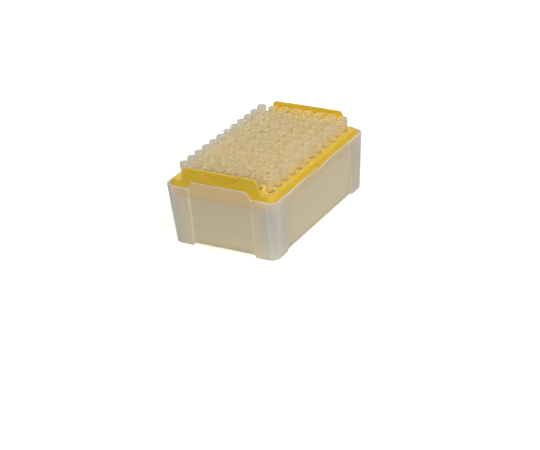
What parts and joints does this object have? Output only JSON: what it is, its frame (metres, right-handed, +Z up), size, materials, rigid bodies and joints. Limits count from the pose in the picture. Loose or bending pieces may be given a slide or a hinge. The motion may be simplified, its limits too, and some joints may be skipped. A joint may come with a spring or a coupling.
{
  "type": "box of pipette tips",
  "caption": "Open laboratory box with a drop-in rack that holds pipette tips on a well-plate grid, with a lifting handle at each end of the rack.",
  "frame": {"origin": "middle of the box, on the surface that its feet stand on", "axes": "+X along the twelve columns of tips, +Y along the eight rows towards row A, +Z up"},
  "size_m": [0.1236, 0.0826, 0.0544],
  "materials": {
    "frosted_polypropylene": "translucent natural polypropylene, injection moulded with a fine spark-eroded matt texture",
    "yellow_polypropylene": "yellow polypropylene, injection moulded, satin",
    "natural_polypropylene": "translucent natural polypropylene, injection moulded in polished cavities"
  },
  "bodies": {
    "root": {"tip_box": "frosted_polypropylene", "tip_rack": "yellow_polypropylene", "tip_A01": "natural_polypropylene", "tip_A02": "natural_polypropylene", "tip_A03": "natural_polypropylene", "tip_A04": "natural_polypropylene", "tip_A05": "natural_polypropylene", "tip_A06": "natural_polypropylene", "tip_A07": "natural_polypropylene", "tip_A08": "natural_polypropylene", "tip_A09": "natural_polypropylene", "tip_A10": "natural_polypropylene", "tip_A11": "natural_polypropylene", "tip_A12": "natural_polypropylene", "tip_B01": "natural_polypropylene", "tip_B02": "natural_polypropylene", "tip_B03": "natural_polypropylene", "tip_B04": "natural_polypropylene", "tip_B05": "natural_polypropylene", "tip_B06": "natural_polypropylene", "tip_B07": "natural_polypropylene", "tip_B08": "natural_polypropylene", "tip_B09": "natural_polypropylene", "tip_B10": "natural_polypropylene", "tip_B11": "natural_polypropylene", "tip_B12": "natural_polypropylene", "tip_C01": "natural_polypropylene", "tip_C12": "natural_polypropylene", "tip_D01": "natural_polypropylene", "tip_D12": "natural_polypropylene", "tip_E01": "natural_polypropylene", "tip_E12": "natural_polypropylene", "tip_F01": "natural_polypropylene", "tip_F12": "natural_polypropylene", "tip_G01": "natural_polypropylene", "tip_G02": "natural_polypropylene", "tip_G03": "natural_polypropylene", "tip_G04": "natural_polypropylene", "tip_G05": "natural_polypropylene", "tip_G06": "natural_polypropylene", "tip_G07": "natural_polypropylene", "tip_G08": "natural_polypropylene", "tip_G09": "natural_polypropylene", "tip_G10": "natural_polypropylene", "tip_G11": "natural_polypropylene", "tip_G12": "natural_polypropylene", "tip_H01": "natural_polypropylene", "tip_H02": "natural_polypropylene", "tip_H03": "natural_polypropylene", "tip_H04": "natural_polypropylene", "tip_H05": "natural_polypropylene", "tip_H06": "natural_polypropylene", "tip_H07": "natural_polypropylene", "tip_H08": "natural_polypropylene", "tip_H09": "natural_polypropylene", "tip_H10": "natural_polypropylene", "tip_H11": "natural_polypropylene", "tip_H12": "natural_polypropylene"}
  },
  "joints": []
}
